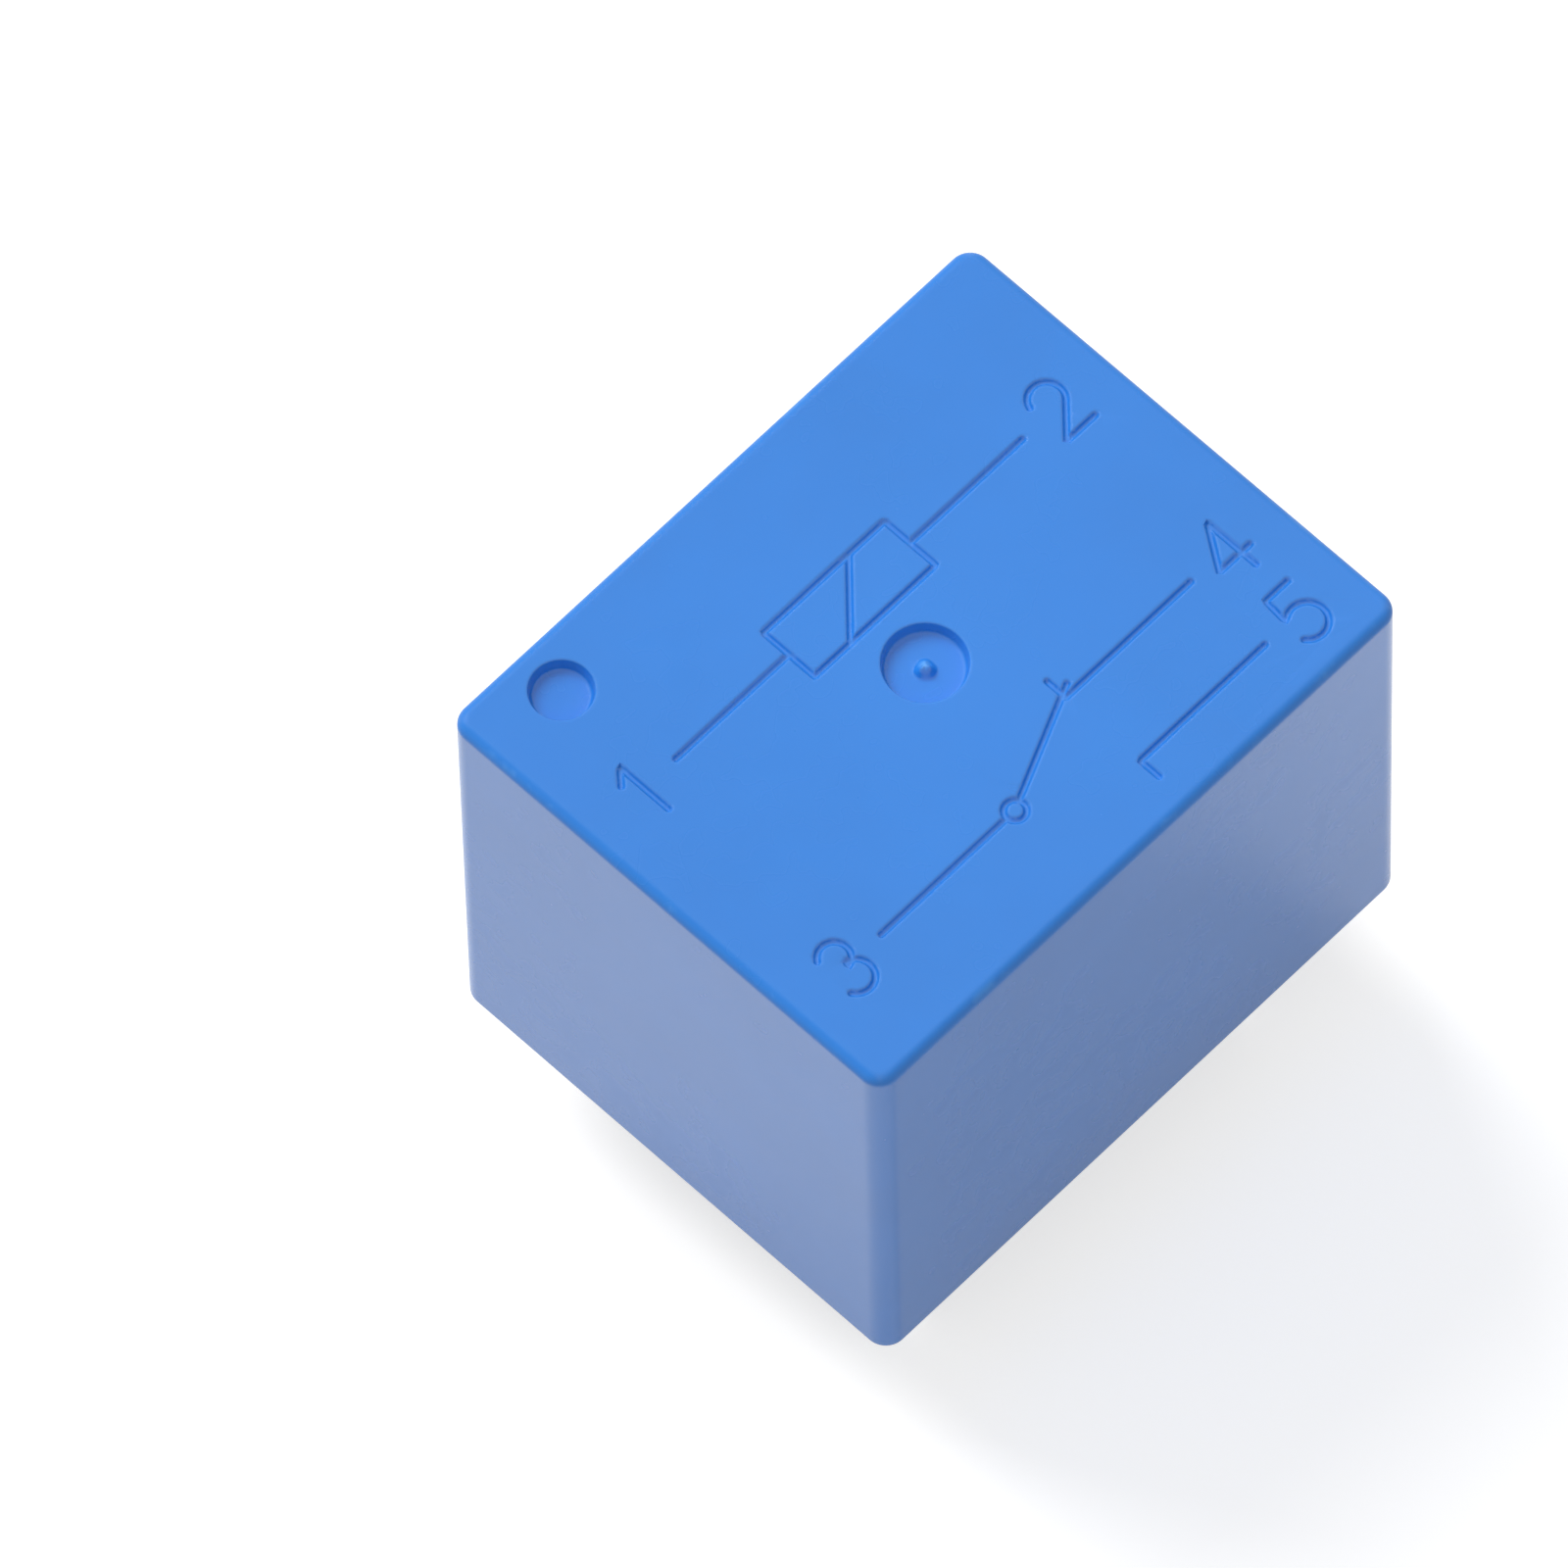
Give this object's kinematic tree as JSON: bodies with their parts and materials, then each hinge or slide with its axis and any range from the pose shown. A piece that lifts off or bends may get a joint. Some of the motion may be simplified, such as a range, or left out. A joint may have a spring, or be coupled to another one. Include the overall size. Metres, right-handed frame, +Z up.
{
  "type": "pcb power relay",
  "caption": "Sealed cube-shaped changeover power relay for a circuit board: blue moulded cover, coil and hinged armature inside, solder pins below.",
  "frame": {"origin": "centre of the cover's footprint, on the rim that seats on the board", "axes": "+Z up from the board, +X from the armature's hinge end to the contact end, +Y across"},
  "size_m": [0.019, 0.0152, 0.0185],
  "materials": {
    "cover_plastic": "satin moulded thermoplastic",
    "base_plastic": "moulded thermoplastic",
    "resin": "cast epoxy, glossy",
    "bobbin_plastic": "moulded thermoplastic",
    "enamelled_copper": "enamelled copper wire",
    "tinned_copper": "tin plated copper alloy",
    "plated_iron": "soft iron, plated",
    "spring_bronze": "rolled spring bronze",
    "contact_silver": "silver alloy"
  },
  "bodies": {
    "housing": {"cover": "cover_plastic", "base": "base_plastic", "sealing_resin": "resin", "bobbin": "bobbin_plastic", "coil_winding": "enamelled_copper", "coil_lead_1": "enamelled_copper", "coil_lead_2": "enamelled_copper", "coil_pin_1": "tinned_copper", "coil_pin_2": "tinned_copper", "core": "plated_iron", "yoke": "plated_iron", "yoke_rivets": "tinned_copper", "common_terminal": "tinned_copper", "nc_terminal": "tinned_copper", "no_terminal": "tinned_copper", "nc_contact": "contact_silver", "no_contact": "contact_silver"},
    "armature_set": {"armature": "plated_iron", "armature_rivets": "tinned_copper", "contact_spring": "spring_bronze", "moving_contact": "contact_silver"}
  },
  "joints": [
    {"name": "armature_hinge", "type": "hinge", "parent": "housing", "child": "armature_set", "pos_m": [-0.0075, 0, 0.01022], "axis": [0, 1, 0], "range_deg": [0, 3], "stiffness_Nm_per_rad": 0.002, "springref_deg": -28.65, "deforming": ["contact_spring"]}
  ]
}
